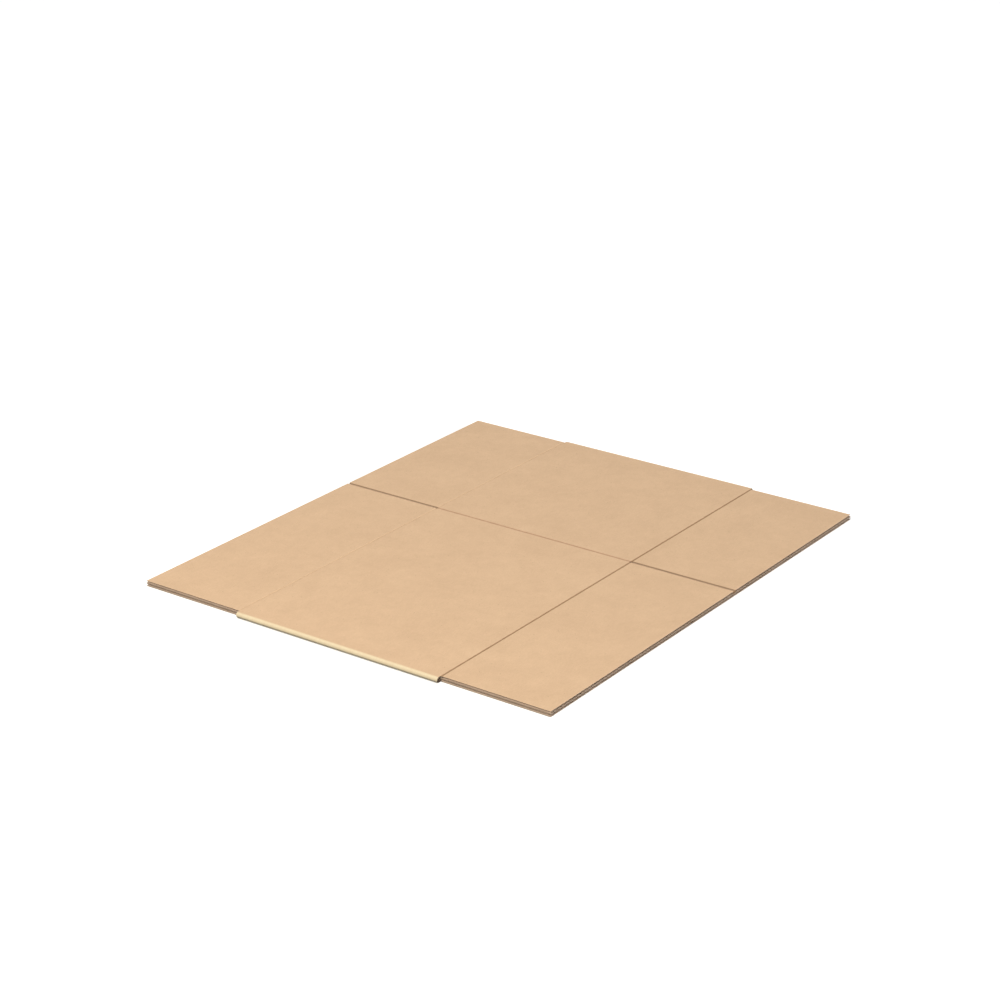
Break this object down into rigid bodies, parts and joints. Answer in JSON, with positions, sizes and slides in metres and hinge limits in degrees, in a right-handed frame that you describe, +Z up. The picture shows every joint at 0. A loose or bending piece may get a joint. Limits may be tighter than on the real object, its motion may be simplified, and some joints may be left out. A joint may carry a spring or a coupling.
{
  "type": "flattened cardboard box",
  "caption": "Regular slotted corrugated box, glued into a tube and folded flat, with open flutes at the flap ends, slots between the flaps and pressed creases.",
  "frame": {"origin": "middle of the underside, the face that rests", "axes": "+X from one folded edge to the other, the long way of the flat; +Y along the flutes, from flap end to flap end; +Z up, out of the face without the glued seam"},
  "size_m": [0.7258, 0.6204, 0.0074],
  "materials": {
    "kraft_board": "matt unbleached kraft liner"
  },
  "bodies": {
    "root": {"flattened_box": "kraft_board"}
  },
  "joints": []
}
